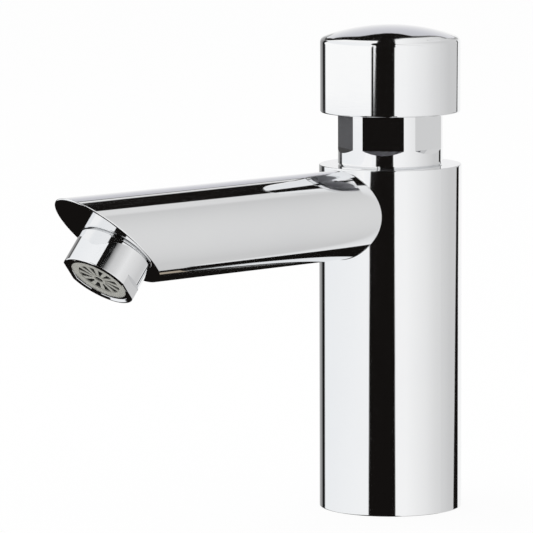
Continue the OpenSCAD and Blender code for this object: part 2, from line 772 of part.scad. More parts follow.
// Aerator shell: a turned cap with two spanner flats at its outer end
module aerator_shell() {
    color(chrome) on_aerator() difference() {
        rotate_extrude() bar_section(shell_r, shell_gap, aerator_len, shell_shoulder, shell_edge);
        rotate_extrude() polygon([[0, -1], [nipple_r, -1], [nipple_r, insert_top_w],
            [cage_r, insert_top_w], [cage_r, lip_w], [outlet_r, lip_w],
            [outlet_r, aerator_len - outlet_bevel], [outlet_r + outlet_bevel, aerator_len],
            [outlet_r + outlet_bevel, aerator_len + 1], [0, aerator_len + 1]]);
        for (side = [0, 180]) rotate(shell_flat_turn + side)
            translate([shell_r - shell_flat_depth, -shell_r, aerator_len - shell_flat_h])
                cube([shell_r, 2 * shell_r, shell_flat_h + 1]);
    }
}

// Rubber washer between the nipple and the insert
module aerator_washer() {
    color(rubber) on_aerator()
        ring(nipple_bore_r, nipple_r - seat_fit, nipple_w, aerator_washer_h);
}

// Plastic insert: a cup in the nipple's bore with a spoked outlet grid
module aerator_insert() {
    rim_r = outlet_r - seat_fit;
    ledge_r = insert_bore_r - sieve_ledge;
    grid_w = insert_face_w - grid_h;
    color(grey_plastic) on_aerator() {
        rotate_extrude() polygon([[ledge_r, sieve_w], [insert_bore_r, sieve_w],
            [insert_bore_r, insert_cup_w], [insert_cup_r, insert_cup_w],
            [insert_cup_r, insert_top_w], [insert_r, insert_top_w], [insert_r, lip_w],
            [rim_r, lip_w], [rim_r, insert_face_w - insert_edge],
            [rim_r - insert_edge, insert_face_w], [ledge_r, insert_face_w]]);
        ring(hub_r - hub_wall, hub_r, grid_w, grid_h);
        for (k = [0 : spokes - 1]) rotate(360 * k / spokes)
            translate([0, 0, grid_w]) linear_extrude(grid_h - spoke_sink)
                polygon([[hub_r - hub_wall / 2, -spoke_w / 2], [insert_bore_r, -spoke_end_w / 2],
                    [insert_bore_r, spoke_end_w / 2], [hub_r - hub_wall / 2, spoke_w / 2]]);
    }
}

// Steel sieve that lies on the ledge inside the insert
module aerator_sieve() {
    rows = 3;
    rim_rows = 0.5;
    sieve_r = insert_bore_r - seat_fit;
    row_step = (sieve_r - sieve_ledge) / (rows + rim_rows);
    color(steel) on_aerator() difference() {
        translate([0, 0, sieve_w - sieve_h]) cylinder(r = sieve_r, h = sieve_h);
        for (row = [1 : rows], k = [0 : 6 * row - 1]) rotate(60 * k / row)
            translate([row * row_step, 0, sieve_w - sieve_h - 1])
                cylinder(d = sieve_hole_d, h = sieve_h + 2);
    }
}

body();
base_gasket();
spout();
spout_braze_fillet();
bonnet();
bonnet_o_ring();
stem();
stem_bush();
stem_o_ring();
gland_circlip();
push_button();
button_lock_nut();
piston();
piston_lip_seal();
piston_circlip();
bleed_pin();
return_spring();
cartridge_sleeve();
sleeve_o_ring();
valve_seat();
valve_washer();
valve_cup();
valve_nut();
strainer();
flow_regulator();
regulator_o_ring();
aerator_shell();
aerator_washer();
aerator_insert();
aerator_sieve();
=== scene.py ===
# Looks of a push timed basin tap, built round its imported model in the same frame:
# origin at the middle of the base, +Z up, the spout along -Y, metres.
import math

import bpy
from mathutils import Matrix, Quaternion, Vector


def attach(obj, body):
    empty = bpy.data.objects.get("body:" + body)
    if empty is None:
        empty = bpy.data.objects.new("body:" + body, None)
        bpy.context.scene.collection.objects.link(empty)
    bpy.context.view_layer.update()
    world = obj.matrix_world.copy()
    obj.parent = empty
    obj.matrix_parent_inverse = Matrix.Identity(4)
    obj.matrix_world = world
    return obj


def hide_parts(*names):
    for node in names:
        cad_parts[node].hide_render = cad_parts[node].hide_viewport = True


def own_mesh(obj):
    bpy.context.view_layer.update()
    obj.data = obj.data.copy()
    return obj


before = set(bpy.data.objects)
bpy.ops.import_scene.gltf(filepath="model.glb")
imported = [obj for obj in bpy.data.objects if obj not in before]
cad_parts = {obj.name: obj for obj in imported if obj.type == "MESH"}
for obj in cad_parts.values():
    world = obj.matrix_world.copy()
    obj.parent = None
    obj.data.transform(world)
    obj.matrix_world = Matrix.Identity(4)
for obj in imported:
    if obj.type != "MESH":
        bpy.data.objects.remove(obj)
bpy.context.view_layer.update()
MM = 0.001


# Body: a straight bar of brass, bored from both ends for the inlet and the
# cartridge, turned, polished lengthways and plated with bright chromium.
noise_low = 0.3
noise_high = 0.7


def put(tree, kind, feeds=(), **settings):
    """Adds a node, sets its options, and feeds each input a number or another node's output."""
    made = tree.nodes.new(kind)
    for option, value in settings.items():
        setattr(made, option, value)
    for socket, value in dict(feeds).items():
        if isinstance(value, bpy.types.NodeSocket):
            tree.links.new(value, made.inputs[socket])
        else:
            made.inputs[socket].default_value = value
    return made


def new_finish(name, metallic):
    """An empty finish: its node tree, its shader, and the place on the piece in metres."""
    finish = bpy.data.materials.new(name)
    finish.use_nodes = True
    tree = finish.node_tree
    shader = tree.nodes["Principled BSDF"]
    shader.inputs["Metallic"].default_value = metallic
    place = put(tree, "ShaderNodeTexCoord").outputs["Object"]
    return finish, tree, shader, place


def mottle(tree, shader, place, size, dark, light):
    """Slow change of colour between two shades, over patches of about a given size."""
    patches = put(tree, "ShaderNodeTexNoise", {"Vector": place, "Scale": 1 / size, "Detail": 3.0})
    blend = put(tree, "ShaderNodeValToRGB", {"Fac": patches.outputs["Fac"]})
    first, last = blend.color_ramp.elements
    first.position = noise_low
    last.position = noise_high
    first.color = (*dark, 1)
    last.color = (*light, 1)
    tree.links.new(blend.outputs["Color"], shader.inputs["Base Color"])


def grain(tree, place, pitch):
    """Fine marks, as long along each axis as pitch says, in metres."""
    stretched = put(tree, "ShaderNodeMapping", {"Vector": place, "Scale": [1 / p for p in pitch]})
    return put(tree, "ShaderNodeTexNoise", {"Vector": stretched.outputs["Vector"], "Scale": 1.0,
                                            "Detail": 4.0}).outputs["Fac"]


def gloss(tree, shader, marks, smooth, rough):
    """Roughness that follows the marks."""
    spread = put(tree, "ShaderNodeMapRange", {"Value": marks, "From Min": noise_low, "From Max": noise_high,
                                              "To Min": smooth, "To Max": rough})
    tree.links.new(spread.outputs["Result"], shader.inputs["Roughness"])


def relief(tree, shader, marks, depth):
    """Relief of a given depth in metres, from the marks."""
    bump = put(tree, "ShaderNodeBump", {"Height": marks, "Strength": 1.0, "Distance": depth})
    tree.links.new(bump.outputs["Normal"], shader.inputs["Normal"])


def chromium(name, polish):
    """Bright chromium: near mirror, with faint lines from the polishing mop and a little swell."""
    swells_per_metre = 60.0
    line_share = 0.3
    finish, tree, shader, place = new_finish(name, metallic=1.0)
    mottle(tree, shader, place, size=30 * MM, dark=(0.875, 0.88, 0.89), light=(0.895, 0.90, 0.905))
    lines = grain(tree, place, polish)
    gloss(tree, shader, lines, smooth=0.03, rough=0.065)
    swell = put(tree, "ShaderNodeTexNoise", {"Vector": place, "Scale": swells_per_metre, "Detail": 1.0})
    skin = put(tree, "ShaderNodeMath", {0: lines, 1: line_share, 2: swell.outputs["Fac"]},
               operation="MULTIPLY_ADD")
    relief(tree, shader, skin.outputs[0], depth=0.002 * MM)
    return finish


def dress(node, finish):
    """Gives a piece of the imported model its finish."""
    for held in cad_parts[node].material_slots:
        held.material = finish


dress("body", chromium("body_chromium", polish=(0.6 * MM, 0.6 * MM, 20 * MM)))


# Base gasket: a moulded rubber ring let into a groove in the base. It seals
# the tap against the basin.
def moulded_rubber(name):
    """Black rubber with a dusty bloom and a fine moulded skin."""
    finish, tree, shader, place = new_finish(name, metallic=0.0)
    mottle(tree, shader, place, size=4 * MM, dark=(0.018, 0.018, 0.02), light=(0.04, 0.04, 0.043))
    skin = grain(tree, place, pitch=(0.4 * MM, 0.4 * MM, 0.4 * MM))
    gloss(tree, shader, skin, smooth=0.55, rough=0.8)
    relief(tree, shader, skin, depth=0.02 * MM)
    return finish


dress("base_gasket", moulded_rubber("gasket_rubber"))


# Flow regulator: a moulded acetal disc with six holes, pushed into the inlet
# with an O-ring round it.
def moulded_acetal(name):
    """Milky acetal with soft flow marks."""
    finish, tree, shader, place = new_finish(name, metallic=0.0)
    mottle(tree, shader, place, size=3 * MM, dark=(0.74, 0.74, 0.70), light=(0.84, 0.84, 0.80))
    flow = grain(tree, place, pitch=(1 * MM, 1 * MM, 3 * MM))
    gloss(tree, shader, flow, smooth=0.3, rough=0.45)
    relief(tree, shader, flow, depth=0.005 * MM)
    return finish


ring_rubber = moulded_rubber("ring_rubber")
dress("flow_regulator", moulded_acetal("regulator_acetal"))
dress("regulator_o_ring", ring_rubber)


# Strainer: a pressed basket of stainless steel with twelve slots, held under
# the cartridge. It keeps grit out of the valve.
def turned_metal(name, dark, light, smooth, rough):
    """Bare metal with the fine rings that a lathe leaves round the tap's axis."""
    finish, tree, shader, place = new_finish(name, metallic=1.0)
    mottle(tree, shader, place, 6 * MM, dark, light)
    parts = put(tree, "ShaderNodeSeparateXYZ", {"Vector": place})
    across = put(tree, "ShaderNodeCombineXYZ", {"X": parts.outputs["X"], "Y": parts.outputs["Y"]})
    radius = put(tree, "ShaderNodeVectorMath", {0: across.outputs["Vector"]}, operation="LENGTH")
    rings = put(tree, "ShaderNodeCombineXYZ", {"X": radius.outputs["Value"], "Z": parts.outputs["Z"]})
    marks = grain(tree, rings.outputs["Vector"], pitch=(0.2 * MM, 0.2 * MM, 0.2 * MM))
    gloss(tree, shader, marks, smooth, rough)
    relief(tree, shader, marks, depth=0.004 * MM)
    return finish


STEEL_SHADES = ((0.50, 0.51, 0.53), (0.60, 0.61, 0.63))
dress("strainer", turned_metal("strainer_steel", *STEEL_SHADES, smooth=0.25, rough=0.4))


# Cartridge: a turned brass sleeve with four windows, clamped under the bonnet.
# A steel seat is pressed into its web, and an O-ring parts inlet from outlet.
BRASS_SHADES = ((0.66, 0.47, 0.20), (0.76, 0.57, 0.27))
turned_brass = turned_metal("turned_brass", *BRASS_SHADES, smooth=0.2, rough=0.35)
turned_steel = turned_metal("turned_steel", *STEEL_SHADES, smooth=0.15, rough=0.3)
dress("cartridge_sleeve", turned_brass)
dress("valve_seat", turned_steel)
dress("sleeve_o_ring", ring_rubber)


# Valve: a rubber washer in a turned brass cup, clamped on the stem's lower end
# by a brass nut. It closes upwards against the seat.
dress("valve_washer", moulded_rubber("washer_rubber"))
dress("valve_cup", turned_brass)
dress("valve_nut", turned_brass)


# Stem and piston: a turned steel stem carries an acetal piston with a rubber
# lip seal, held by a clip. The steel bleed pin runs through the piston.
dress("stem", turned_steel)
dress("piston", moulded_acetal("piston_acetal"))
dress("piston_lip_seal", moulded_rubber("seal_rubber"))
dress("piston_circlip", turned_steel)
dress("bleed_pin", turned_steel)


# Return spring: stainless spring wire, coiled with its end turns closed. It
# stands on the cartridge's web and pushes the piston up.
wire_r = 0.7 * MM
closed_rise = 2.05 * wire_r
coil_r = 8.3 * MM
coil_foot = 82.5 * MM
coil_head = 110 * MM
coil_turns = 7.5
coil_steps = 32
wire_sides = 14


def make_skin(name, points, faces, finish):
    """A mesh whose faces are given as corner numbers with the true surface direction at each corner."""
    mesh = bpy.data.meshes.new(name)
    mesh.from_pydata(points, [], [corners for corners, _ in faces])
    mesh.polygons.foreach_set("use_smooth", [True] * len(mesh.polygons))
    mesh.normals_split_custom_set([way for _, ways in faces for way in ways])
    mesh.materials.append(finish)
    made = bpy.data.objects.new(name, mesh)
    bpy.context.scene.collection.objects.link(made)
    return made


def coil_height(turns):
    """Height of the wire's middle after so many turns: the first and last turn lie closed."""
    if turns < 1:
        return coil_foot + wire_r + closed_rise * turns * turns / 2
    if turns > coil_turns - 1:
        return coil_head - wire_r - closed_rise * (coil_turns - turns) ** 2 / 2
    low = coil_foot + wire_r + closed_rise / 2
    high = coil_head - wire_r - closed_rise / 2
    return low + (high - low) * (turns - 1) / (coil_turns - 2)


coil_points = []
coil_ways = []
coil_rows = round(coil_turns * coil_steps) + 1
for row in range(coil_rows):
    turns = row / coil_steps
    angle = 2 * math.pi * turns
    out = Vector((math.cos(angle), math.sin(angle), 0))
    middle = out * coil_r + Vector((0, 0, coil_height(turns)))
    for corner in range(wire_sides):
        round_wire = 2 * math.pi * corner / wire_sides
        way = out * math.cos(round_wire) + Vector((0, 0, math.sin(round_wire)))
        coil_ways.append(way)
        coil_points.append(middle + wire_r * way)
coil_faces = []
for row in range(coil_rows - 1):
    for corner in range(wire_sides):
        after = (corner + 1) % wire_sides
        corners = [row * wire_sides + corner, (row + 1) * wire_sides + corner,
                   (row + 1) * wire_sides + after, row * wire_sides + after]
        coil_faces.append((corners, [coil_ways[c] for c in corners]))
last_ring = (coil_rows - 1) * wire_sides
end_angle = 2 * math.pi * coil_turns
coil_faces.append((list(range(wire_sides)), [Vector((0, -1, 0))] * wire_sides))
coil_faces.append((list(reversed(range(last_ring, last_ring + wire_sides))),
                   [Vector((-math.sin(end_angle), math.cos(end_angle), 0))] * wire_sides))
spring = make_skin("coiled_spring", coil_points, coil_faces,
                   turned_metal("spring_steel", *STEEL_SHADES, smooth=0.2, rough=0.35))
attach(spring, "tap_body")
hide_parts("return_spring")
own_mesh(spring)


# Bonnet: a turned and plated brass cap with six spanner flats, screwed into
# the top of the body. It holds the timing chamber and the stem's gland.
dress("bonnet", chromium("bonnet_chromium", polish=(4 * MM, 4 * MM, 0.4 * MM)))
dress("bonnet_o_ring", ring_rubber)
dress("stem_bush", moulded_acetal("bush_acetal"))
dress("stem_o_ring", ring_rubber)
dress("gland_circlip", turned_steel)


# Push button: a domed brass cap, turned, polished and plated outside and left
# dull and pale inside, screwed on the stem and locked by a steel nut.
hollow_middle = 138 * MM
hollow_shade = (0.84, 0.84, 0.87, 1)
hollow_dullness = 0.6


def plated_outside(name, polish):
    """Bright chromium outside, and a dull pale coat where the surface faces the hollow's middle."""
    finish = chromium(name, polish)
    tree = finish.node_tree
    shader = tree.nodes["Principled BSDF"]
    coords = put(tree, "ShaderNodeTexCoord")
    off_middle = put(tree, "ShaderNodeVectorMath", {0: coords.outputs["Object"], 1: (0, 0, hollow_middle)},
                     operation="SUBTRACT").outputs["Vector"]
    outward = put(tree, "ShaderNodeVectorMath", {0: off_middle, 1: coords.outputs["Normal"]},
                  operation="DOT_PRODUCT").outputs["Value"]
    inside = put(tree, "ShaderNodeMath", {0: outward, 1: 0.0}, operation="LESS_THAN").outputs[0]
    bright = shader.inputs["Base Color"].links[0].from_socket
    fine = shader.inputs["Roughness"].links[0].from_socket
    tint = put(tree, "ShaderNodeMix", {0: inside, 6: bright, 7: hollow_shade}, data_type="RGBA").outputs[2]
    blur = put(tree, "ShaderNodeMath", {0: inside, 1: hollow_dullness, 2: fine},
               operation="MULTIPLY_ADD").outputs[0]
    plated = put(tree, "ShaderNodeMath", {0: 1.0, 1: inside}, operation="SUBTRACT").outputs[0]
    for socket, feed in (("Base Color", tint), ("Roughness", blur), ("Metallic", plated)):
        tree.links.new(feed, shader.inputs[socket])
    return finish


dress("push_button", plated_outside("button_chromium", polish=(6 * MM, 6 * MM, 0.5 * MM)))
dress("button_lock_nut", turned_steel)


# Spout: a brass tube cut slantwise, its end closed by a plate with a threaded
# nipple, ground flush, its rim eased by polishing, and plated.
spout_r = 14 * MM
bore_r = 12.4 * MM
spout_z = 94.5 * MM
root_r = 21.95 * MM
reach = 119 * MM
slant = math.radians(39.5)
end_wall = 3 * MM
nipple_r = 10.7 * MM
nipple_bore = 8.8 * MM
nipple_len = 7 * MM
nipple_drop = 4.8 * MM
tip_ease = 0.25 * MM
side_ease = 0.5 * MM
spout_steps = 192
ease_steps = 8

face_out = Vector((0, -math.sin(slant), -math.cos(slant)))
face_up = Vector((0, -math.cos(slant), math.sin(slant)))
face_middle = Vector((0, -reach, spout_z))
nipple_middle = face_middle - face_up * nipple_drop


def swing(start, end, share):
    """Direction part of the way from one to another."""
    wide = start.angle(end)
    return (start * math.sin(wide * (1 - share)) + end * math.sin(wide * share)) / math.sin(wide)


def on_tube(way, r, depth):
    """Point at a radius of the tube, a depth behind the slanted face."""
    run = reach - (depth - r * way.z * math.cos(slant)) / math.sin(slant)
    return Vector((r * way.x, -run, spout_z + r * way.z))


def at_root(way, r):
    """Point at a radius of the tube, where it meets the body's groove."""
    return Vector((r * way.x, -math.sqrt(root_r ** 2 - (r * way.x) ** 2), spout_z + r * way.z))


def spout_line(angle):
    """One line round the spout's wall, from its root over the rim, the nipple and the bore, with
    the direction of the surface before and after each point."""
    way = Vector((math.cos(angle), 0, math.sin(angle)))
    spoke = Vector((math.cos(angle), 0, 0)) + face_up * math.sin(angle)
    ease = side_ease + (tip_ease - side_ease) * max(0.0, math.sin(angle)) ** 2
    ball = on_tube(way, spout_r - ease, ease)
    root_out = at_root(way, spout_r)
    root_in = at_root(way, bore_r)
    to_body = -Vector((root_out.x, root_out.y, 0)).normalized()
    line = [(root_out, to_body, way)]
    for step in range(ease_steps + 1):
        turned = swing(way, face_out, step / ease_steps)
        line.append((ball + ease * turned, turned, turned))
    line.append((nipple_middle + nipple_r * spoke, face_out, spoke))
    line.append((nipple_middle + nipple_r * spoke + nipple_len * face_out, spoke, face_out))
    line.append((nipple_middle + nipple_bore * spoke + nipple_len * face_out, face_out, -spoke))
    line.append((nipple_middle + nipple_bore * spoke - end_wall * face_out, -spoke, -face_out))
    line.append((on_tube(way, bore_r, end_wall), -face_out, -way))
    line.append((root_in, -way, to_body))
    return line


def wrap(name, spans, finish):
    """A closed skin from spans, each between one line round the wall and the line beside it."""
    line_len = len(spans[0][0])
    points = [point for line, _ in spans for point, _, _ in line]
    faces = []
    for step, (line, beside) in enumerate(spans):
        other = (step + 1) % len(spans)
        for place in range(line_len):
            after = (place + 1) % line_len
            corners = [step * line_len + place, other * line_len + place,
                       other * line_len + after, step * line_len + after]
            ways = [line[place][2], beside[place][2], beside[after][1], line[after][1]]
            faces.append((corners, ways))
    return make_skin(name, points, faces, finish)


spout_lines = [spout_line(2 * math.pi * step / spout_steps) for step in range(spout_steps)]
spout = wrap("slant_cut_spout", list(zip(spout_lines, spout_lines[1:] + spout_lines[:1])),
             chromium("spout_chromium", polish=(0.6 * MM, 20 * MM, 0.6 * MM)))
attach(spout, "tap_body")
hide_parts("spout")


# Braze fillet: the hollow of brazing metal round the spout's root, ground and
# polished with the body and plated over. It thins out towards the crown.
body_r = 22.5 * MM
body_edge_z = 108.65 * MM
fillet_r = 0.3 * MM
fillet_lip = 0.015 * MM
fillet_rows = 200
fillet_steps = 12


def fillet_ring(angle):
    """Section of the fillet at an angle round the spout, with the direction of its hollow face."""
    way = Vector((math.cos(angle), 0, math.sin(angle)))
    r = fillet_r
    if way.z > 0:
        r = min(r, (body_edge_z - spout_z) / way.z - spout_r)
    x = (spout_r + r) * way.x
    ball = Vector((x, -math.sqrt((body_r + r) ** 2 - x * x), spout_z + (spout_r + r) * way.z))
    to_body = -Vector((ball.x, ball.y, 0)).normalized()
    trim = math.acos(1 - fillet_lip / r) / way.angle(-to_body)
    hollow = []
    ways = []
    for step in range(fillet_steps + 1):
        share = step / fillet_steps
        hollow.append(ball + r * swing(-way, to_body, trim + (1 - 2 * trim) * share))
        ways.append(-swing(-way, to_body, share))
    on_body = hollow[-1].copy()
    flat = Vector((on_body.x, on_body.y, 0)).normalized() * body_r
    on_body.x, on_body.y = flat.x, flat.y
    corner_x = spout_r * way.x
    corner = Vector((corner_x, -math.sqrt(body_r ** 2 - corner_x ** 2), spout_z + spout_r * way.z))
    on_spout = Vector((spout_r * way.x, hollow[0].y, spout_z + spout_r * way.z))
    return hollow + [on_body, corner, on_spout], ways


fillet_rings = [fillet_ring(2 * math.pi * row / fillet_rows) for row in range(fillet_rows)]
ring_len = len(fillet_rings[0][0])
fillet_points = [point for ring, _ in fillet_rings for point in ring]
fillet_faces = []
for row in range(fillet_rows):
    other = (row + 1) % fillet_rows
    for place in range(ring_len):
        after = (place + 1) % ring_len
        corners = [row * ring_len + place, row * ring_len + after,
                   other * ring_len + after, other * ring_len + place]
        if after and after <= fillet_steps:
            here, there = fillet_rings[row][1], fillet_rings[other][1]
            ways = [here[place], here[after], there[after], there[place]]
        else:
            a, b, c = (fillet_points[corner] for corner in corners[:3])
            ways = [(b - a).cross(c - b).normalized()] * 4
        fillet_faces.append((corners, ways))
fillet = make_skin("polished_fillet", fillet_points, fillet_faces,
                   chromium("fillet_chromium", polish=(2 * MM, 2 * MM, 2 * MM)))
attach(fillet, "tap_body")
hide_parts("spout_braze_fillet")


# Aerator: a turned and plated shell with two spanner flats and a lip polished
# round, screwed on the nipple. It clamps a rubber washer and the moulded
# insert with its sieve.
shell_r = 11.75 * MM
shell_bore = 10.8 * MM
shell_foot = 0.3 * MM
shell_len = 11.4 * MM
shell_shoulder = 0.5 * MM
flat_depth = 1 * MM
flat_foot = 8 * MM
flat_slope = 0.1 * MM
flat_turn = math.radians(-22)
flat_half = math.acos(1 - flat_depth / shell_r)
flat_steps = 16
round_steps = 80
cage_r = 10.15 * MM
cage_foot = 8 * MM
neck_r = 9.65 * MM
neck_foot = 10.2 * MM
outlet_r = 9.15 * MM
lip_foot = 10.86 * MM
ledge = 11.0 * MM
bevel_w = 0.85 * MM
bevel_h = 0.3 * MM
lip_ease = 0.35 * MM
lip_flat = 0.35 * MM
insert_face = 10.8 * MM
# Painted shade down the insert's slots: the depths below its face where it starts and is full, and how dark
# it gets.
slot_edge = 0.28 * MM
slot_depth = 0.55 * MM
painted_slot_shade = 0.12
# The sieve's very dark metal is partly its own dark finish and partly painted shade deep inside the aerator.
SIEVE_SHADES = ((0.05, 0.048, 0.045), (0.10, 0.095, 0.09))


def round_shell(angle):
    """Direction out of the shell's wall."""
    return Vector((math.cos(angle), 0, 0)) + face_up * math.sin(angle)


def shell_line(angle, flat):
    """One line round the shell's wall, as for the spout. flat is the angle that its flat faces, or None."""
    spoke = round_shell(angle)
    low_r = shell_r if flat is None else (shell_r - flat_depth) / math.cos(angle - flat)
    away = spoke if flat is None else round_shell(flat)
    step_way = spoke if flat is None else face_out

    def at(r, w):
        return nipple_middle + r * spoke + w * face_out

    shares = [step / ease_steps for step in range(ease_steps + 1)]
    shoulder = at(shell_r - shell_shoulder, shell_foot + shell_shoulder)
    line = [(at(shell_bore, shell_foot), -spoke, -face_out)]
    for share in shares:
        turned = swing(-face_out, spoke, share)
        line.append((shoulder + shell_shoulder * turned, turned, turned))
    line.append((at(shell_r, flat_foot), spoke, step_way))
    line.append((at(low_r, flat_foot + flat_slope), step_way, away))
    lip = at(low_r - lip_ease, shell_len - lip_ease)
    for share in shares:
        turned = swing(away, face_out, share)
        line.append((lip + lip_ease * swing(spoke, face_out, share), turned, turned))
    bevel_r = low_r - lip_ease - lip_flat
    mouth_r = bevel_r - bevel_w
    bevel_way = (bevel_w * face_out - bevel_h * spoke).normalized()
    line.append((at(bevel_r, shell_len), face_out, bevel_way))
    line.append((at(mouth_r, shell_len - bevel_h), bevel_way, -spoke))
    line.append((at(mouth_r, ledge), -spoke, face_out))
    line.append((at(outlet_r, ledge), face_out, -spoke))
    line.append((at(outlet_r, lip_foot), -spoke, -face_out))
    line.append((at(neck_r, lip_foot), -face_out, -spoke))
    line.append((at(neck_r, neck_foot), -spoke, -face_out))
    line.append((at(cage_r, neck_foot), -face_out, -spoke))
    line.append((at(cage_r, cage_foot), -spoke, -face_out))
    line.append((at(shell_bore, cage_foot), -face_out, -spoke))
    return line


def shell_stretch(start, end, steps, flat):
    """Spans of the shell between two angles, along a flat or along the round."""
    lines = [shell_line(start + (end - start) * step / steps, flat) for step in range(steps + 1)]
    return list(zip(lines, lines[1:]))


shell_spans = []
for flat in (flat_turn, flat_turn + math.pi):
    flat_end = flat + flat_half
    shell_spans += shell_stretch(flat - flat_half, flat_end, flat_steps, flat)
    shell_spans += shell_stretch(flat_end, flat + math.pi - flat_half, round_steps, None)
shell = wrap("round_lipped_shell", shell_spans,
             chromium("shell_chromium", polish=(3 * MM, 3 * MM, 3 * MM)))
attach(shell, "tap_body")
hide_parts("aerator_shell")


def moulded_grey(name):
    """Warm light grey plastic with a matt, slightly uneven skin, and painted shade that darkens it down its
    slots.
    """
    finish, tree, shader, place = new_finish(name, metallic=0.0)
    mottle(tree, shader, place, size=2 * MM, dark=(0.40, 0.40, 0.365), light=(0.47, 0.47, 0.43))
    # Painted shade: the colour darkens with depth below the insert's face, down into the slots.
    outward = put(tree, "ShaderNodeVectorMath", {0: place, 1: face_out}, operation="DOT_PRODUCT")
    level = nipple_middle.dot(face_out) + insert_face
    painted_shade_down_slots = put(tree, "ShaderNodeMapRange", {"Value": outward.outputs["Value"], "From Min": level - slot_depth,
                                            "From Max": level - slot_edge, "To Min": painted_slot_shade,
                                            "To Max": 1.0})
    plain = shader.inputs["Base Color"].links[0].from_socket
    shaded = put(tree, "ShaderNodeVectorMath", {0: plain, "Scale": painted_shade_down_slots.outputs["Result"]},
                 operation="SCALE")
    tree.links.new(shaded.outputs["Vector"], shader.inputs["Base Color"])
    skin = grain(tree, place, pitch=(0.3 * MM, 0.3 * MM, 0.3 * MM))
    gloss(tree, shader, skin, smooth=0.38, rough=0.55)
    relief(tree, shader, skin, depth=0.006 * MM)
    return finish


dress("aerator_washer", ring_rubber)
dress("aerator_insert", moulded_grey("insert_grey"))
dress("aerator_sieve", turned_metal("sieve_steel", *SIEVE_SHADES, smooth=0.35, rough=0.5))


# Camera: a long lens on a stand, a little above the tap and to the right of
# the spout, turned a touch about its own axis.
lens_mm = 320.4
sensor_mm = 36
lens_place = Vector((1.06077, -1.04484, 0.26294))
lens_look = Vector((-0.724977, 0.677456, -0.124343))
lens_roll = math.radians(-0.21)
far_clip = 20
view = bpy.data.cameras.new("view")
view.lens = lens_mm
view.sensor_width = sensor_mm
view.clip_end = far_clip
eye = bpy.data.objects.new("view", view)
bpy.context.scene.collection.objects.link(eye)
eye.location = lens_place
eye.rotation_mode = "QUATERNION"
eye.rotation_quaternion = lens_look.to_track_quat("-Z", "Y") @ Quaternion((0, 0, 1), lens_roll)
bpy.context.scene.camera = eye


# Cards: a small white card hangs close before the outlet, where only the plated
# shell mirrors it, and a grey one close behind the button's right rim. They
# keep the shell's dark strip narrow and the rim pale.
card_steps = 12
white_shade = (0.96, 0.97, 0.98)
white_off = 200 * MM
white_angles = (51.9, 66)
white_depths = (0.5 * MM, 14.5 * MM)
grey_shade = (0.77, 0.77, 0.775)
grey_off = 50 * MM
grey_leans = (22, 45)
grey_sides = (34, 47)
rim_ring = 20.1 * MM
rim_height = 147.3 * MM
rim_r = 2 * MM
facing = math.radians(45.4)


def mirror_way(spot, way):
    """Direction that the lens sees in a spot of chromium that faces one way."""
    to_lens = (lens_place - spot).normalized()
    return 2 * to_lens.dot(way) * way - to_lens


def shell_spot(angle, depth):
    """Place on the shell's round, so far along it, and the way it faces."""
    way = round_shell(angle)
    return nipple_middle + depth * face_out + shell_r * way, way


def rim_spot(lean, side):
    """Place on the button's rounded rim, by how far it leans out and lies aside, and the way it faces."""
    out = Vector((math.sin(facing + side), -math.cos(facing + side), 0))
    way = out * math.sin(lean) + Vector((0, 0, math.cos(lean)))
    return rim_ring * out + Vector((0, 0, rim_height)) + rim_r * way, way


def angles_between(first, last):
    """Evenly spaced angles between two that are given in degrees."""
    return [math.radians(first + (last - first) * step / card_steps) for step in range(card_steps + 1)]


def hang_card(name, shade, off, spots):
    """A strip of card that pairs of spots, each a place and the way it faces, mirror to the lens."""
    points = [spot + off * mirror_way(spot, way) for spot, way in spots]
    mesh = bpy.data.meshes.new(name)
    mesh.from_pydata(points, [], [(k, k + 1, k + 3, k + 2) for k in range(0, len(points) - 2, 2)])
    card = bpy.data.objects.new(name, mesh)
    bpy.context.scene.collection.objects.link(card)
    paper = bpy.data.materials.new(name + "_paper")
    paper.use_nodes = True
    tree = paper.node_tree
    tree.nodes.remove(tree.nodes["Principled BSDF"])
    shine = put(tree, "ShaderNodeEmission", {"Color": (*shade, 1), "Strength": 1.0})
    tree.links.new(shine.outputs[0], tree.nodes["Material Output"].inputs["Surface"])
    mesh.materials.append(paper)
    card.visible_camera = card.visible_diffuse = card.visible_shadow = False


shell_spots = [shell_spot(angle, depth)
               for angle in angles_between(*white_angles) for depth in white_depths]
hang_card("white_card", white_shade, white_off, shell_spots)
rim_spots = [rim_spot(lean, math.radians(side))
             for lean in angles_between(*grey_leans) for side in grey_sides]
hang_card("grey_card", grey_shade, grey_off, rim_spots)


# Floor: a pale sheet that stays white where nothing shades it. It keeps a
# soft shadow of the tap and isn't mirrored in the chromium.
floor_half = 3
floor_drop = 0.05 * MM
floor_shade = (0.9, 0.9, 0.9, 1)
lit_share = 0.92
WHITE = (1, 1, 1, 1)
floor_mesh = bpy.data.meshes.new("floor")
floor_mesh.from_pydata([(x * floor_half, y * floor_half, -floor_drop)
                        for x, y in ((-1, -1), (1, -1), (1, 1), (-1, 1))], [], [(0, 1, 2, 3)])
floor = bpy.data.objects.new("floor", floor_mesh)
bpy.context.scene.collection.objects.link(floor)
sheet = bpy.data.materials.new("floor_sheet")
sheet.use_nodes = True
tree = sheet.node_tree
tree.nodes.remove(tree.nodes["Principled BSDF"])
shaded = put(tree, "ShaderNodeBsdfDiffuse", {"Color": floor_shade})
plain = put(tree, "ShaderNodeEmission", {"Color": WHITE, "Strength": 1.0})
seen = put(tree, "ShaderNodeLightPath")
lit = put(tree, "ShaderNodeMath", {0: seen.outputs["Is Camera Ray"], 1: lit_share}, operation="MULTIPLY")
both = put(tree, "ShaderNodeMixShader", {0: lit.outputs[0], 1: shaded.outputs[0], 2: plain.outputs[0]})
tree.links.new(both.outputs[0], tree.nodes["Material Output"].inputs["Surface"])
floor_mesh.materials.append(sheet)
floor.visible_glossy = False


